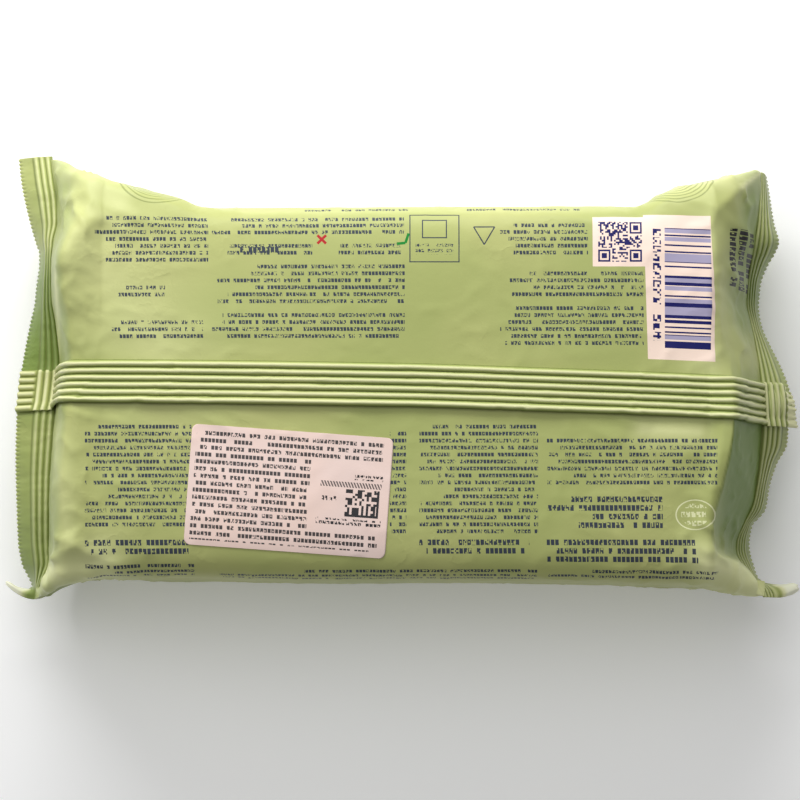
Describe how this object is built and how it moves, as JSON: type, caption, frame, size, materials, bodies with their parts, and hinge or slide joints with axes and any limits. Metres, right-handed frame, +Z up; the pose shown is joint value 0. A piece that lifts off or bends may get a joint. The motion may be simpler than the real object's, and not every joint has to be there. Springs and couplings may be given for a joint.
{
  "type": "wet wipes pack",
  "caption": "Sealed soft film pack of wet wipes, crimped at both ends, with a fin seal along its back, a paper sticker and a reseal label on its front.",
  "frame": {"origin": "centre of the bounding box, on the surface that the pack lies on", "axes": "+X along the pack's length, +Y across it, +Z up through its thickness, out of the back that carries the fin seal"},
  "size_m": [0.2055, 0.1152, 0.0518],
  "materials": {
    "film": "satin printed film",
    "sticker": "semi-gloss printed label paper",
    "label": "glossy label film"
  },
  "bodies": {
    "root": {"sealed_pack": "film", "paper_sticker": "sticker", "reseal_label": "label"}
  },
  "joints": []
}
